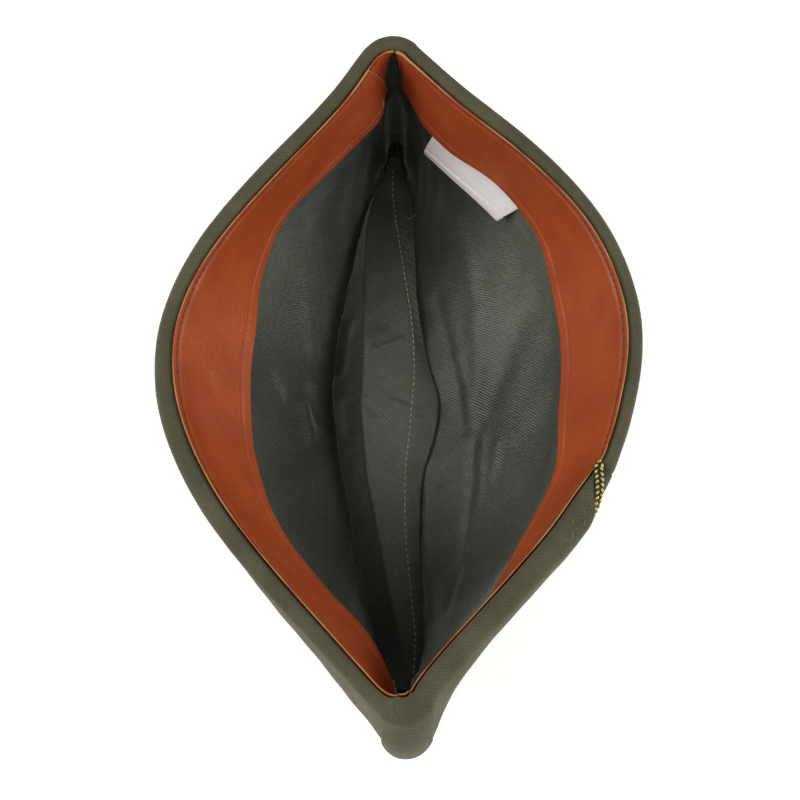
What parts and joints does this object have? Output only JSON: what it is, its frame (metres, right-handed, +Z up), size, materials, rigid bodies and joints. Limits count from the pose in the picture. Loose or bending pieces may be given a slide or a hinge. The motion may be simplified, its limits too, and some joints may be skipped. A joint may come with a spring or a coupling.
{
  "type": "side cap",
  "caption": "Wool side cap lying on its crown, opening up, with a piped turn-up that laps at one side, a leather sweatband, a satin lining and a blank tag.",
  "frame": {"origin": "under the middle of the cap, on the surface that its crown rests on", "axes": "+Z up through the head opening, +Y to the back of the cap, +X to the wearer's right"},
  "size_m": [0.172, 0.2547, 0.1127],
  "materials": {
    "wool": "matt diagonal twill",
    "braid": "two strands of metallic thread wound on a dark core",
    "leather": "smooth, worn, with a raw cut edge",
    "satin": "satin twill with a soft sheen",
    "tag": "matt folded tape"
  },
  "bodies": {
    "root": {"crown_left": "wool", "crown_right": "wool", "crown_top": "wool", "curtain": "wool", "piping": "braid", "sweatband": "leather", "lining_left": "satin", "lining_right": "satin", "lining_strip": "satin", "label": "tag"}
  },
  "joints": []
}
